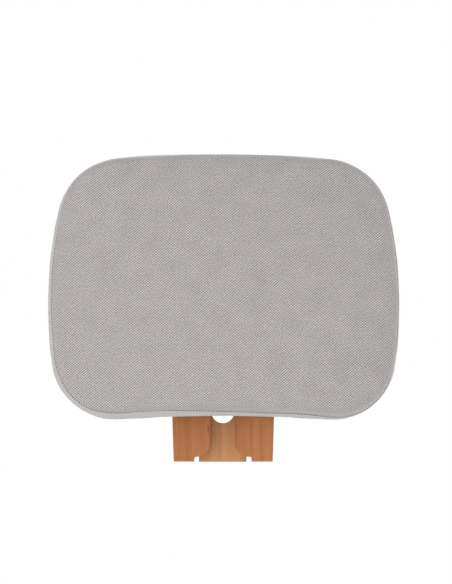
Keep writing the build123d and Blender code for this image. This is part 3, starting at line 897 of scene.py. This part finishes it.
def dress_hardware():
    """Finishes of the metal, plastic and rubber pieces."""
    zinc = metal("zinc_finish", (0.62, 0.62, 0.62, 1.0), low_roughness=0.28, high_roughness=0.45)
    dress(zinc, "block_screws", "clamp_bolt", "clamp_washer", "fork_bolts", "pivot_pin", "pin_clip")
    dress(zinc, "bumper_screws", "pad_bolts", "tee_nuts")
    brass = metal("brass_finish", (0.72, 0.53, 0.24, 1.0), low_roughness=0.25, high_roughness=0.4)
    dress(brass, "chair_inserts", "fork_inserts", "knob_insert")
    coat = grained(
        "coat_finish",
        dark=(0.022, 0.022, 0.024, 1.0),
        light=(0.036, 0.036, 0.038, 1.0),
        roughness=0.5,
        grain_scale=1500.0,
        grain_height=0.0001,
    )
    dress(coat, "fork_bracket", "pad_bracket")
    nylon = grained(
        "nylon_finish",
        dark=(0.70, 0.68, 0.62, 1.0),
        light=(0.78, 0.76, 0.71, 1.0),
        roughness=0.45,
        grain_scale=900.0,
        grain_height=0.00004,
    )
    dress(nylon, "hinge_bushes")
    rubber = grained(
        "rubber_finish",
        dark=(0.018, 0.018, 0.018, 1.0),
        light=(0.03, 0.03, 0.03, 1.0),
        roughness=0.75,
        grain_scale=1100.0,
        grain_height=0.00008,
    )
    dress(rubber, "rubber_bumpers")
    knob = grained(
        "knob_finish",
        dark=(0.024, 0.024, 0.025, 1.0),
        light=(0.036, 0.036, 0.036, 1.0),
        roughness=0.42,
        grain_scale=1800.0,
        grain_height=0.00006,
    )
    dress(knob, "star_knob")


# Stage: floor, light, white surround and camera


def seen_directly(tree):
    """1 where a ray comes from the camera, a mirror or a clear piece, and 0 where it carries light."""
    path = add(tree, "LightPath")
    seen = maths(tree, "MAXIMUM", path.outputs["Is Camera Ray"], path.outputs["Is Glossy Ray"])
    return maths(tree, "MAXIMUM", seen, path.outputs["Is Transmission Ray"])


def make_floor():
    """Plain pale floor well below the unit."""
    built = bmesh.new()
    bmesh.ops.create_circle(built, cap_ends=True, segments=FLOOR_SEGMENTS, radius=FLOOR_RADIUS)
    mesh = finished_mesh("floor", built)
    floor = link("floor", mesh)
    floor.location.z = FLOOR_Z
    made, tree, shader = new_material(
        "floor_white", Roughness=0.9, Base_Color=(0.92, 0.92, 0.92, 1.0), Emission_Color=WHITE
    )
    glow = maths(tree, "MULTIPLY", seen_directly(tree), FLOOR_GLOW)
    tree.links.new(glow, shader.inputs["Emission Strength"])
    mesh.materials.append(made)


def make_world():
    """Even soft light, and pure white where the surround is seen, mirrored or looked through."""
    world = bpy.data.worlds.new("surround")
    scene.world = world
    world.use_nodes = True
    tree = world.node_tree
    tree.nodes.clear()
    lit = add(tree, "Background", {"Color": WHITE, "Strength": AMBIENT}).outputs[0]
    white = add(tree, "Background", {"Color": WHITE, "Strength": 1.0}).outputs[0]
    both = add(tree, "MixShader", {0: seen_directly(tree), 1: lit, 2: white}).outputs[0]
    add(tree, "OutputWorld", {"Surface": both})


def make_lamp(name, place, size, power):
    """Square soft lamp that faces the middle of the pad."""
    data = bpy.data.lights.new(name, "AREA")
    data.size = size
    data.energy = power
    lamp = link(name, data)
    lamp.location = place
    lamp.visible_camera = False
    lamp.rotation_euler = (PAD_CENTRE - Vector(place)).to_track_quat("-Z", "Y").to_euler()


def make_camera():
    """Camera at the photograph's angle."""
    data = bpy.data.cameras.new("camera")
    data.sensor_fit = "HORIZONTAL"
    data.sensor_width = SENSOR_WIDTH
    data.lens = FOCAL_PIXELS * SENSOR_WIDTH / IMAGE_WIDTH
    camera = link("camera", data)
    away = Vector((
        math.sin(CAMERA_AZIMUTH) * math.cos(CAMERA_ELEVATION),
        -math.cos(CAMERA_AZIMUTH) * math.cos(CAMERA_ELEVATION),
        math.sin(CAMERA_ELEVATION),
    ))
    camera.location = CAMERA_TARGET + away * CAMERA_DISTANCE
    camera.rotation_euler = (-away).to_track_quat("-Z", "Y").to_euler()
    scene.camera = camera


# The pad's covers and seams
front_twill = twill_cloth(
    "twill_finish",
    dark=colour(109, 105, 104),
    light=colour(222, 217, 216),
    contrast=0.93,
    warm_shift=0.012,
)
# Lighter, lower-contrast copy of the front twill for the side band; its lighter tone is painted light
# from below on the pad's underside
band_twill_painted_light = twill_cloth(
    "band_painted_light_finish",
    dark=colour(173, 170, 168),
    light=colour(217, 214, 212),
    contrast=0.7,
    warm_shift=0.006,
)
seam_thread = thread()
form = PadForm(pad_skin())
make_front_panel(form, front_twill)
make_side_strip(form, band_twill_painted_light)
make_rear_panel(form, front_twill)
make_stitches("front_stitches", form, form.front_seam, FRONT_THREAD_DEPTH, seam_thread)
make_stitches("rear_stitches", form, form.rear_seam, REAR_THREAD_DEPTH, seam_thread)

# The frame's own pieces, and the stage
dress_wood()
dress_hardware()
make_floor()
make_world()
for lamp_name, lamp_place, lamp_size, lamp_power in LAMPS:
    make_lamp(lamp_name, lamp_place, lamp_size, lamp_power)
make_camera()
scene.view_settings.view_transform = "Standard"
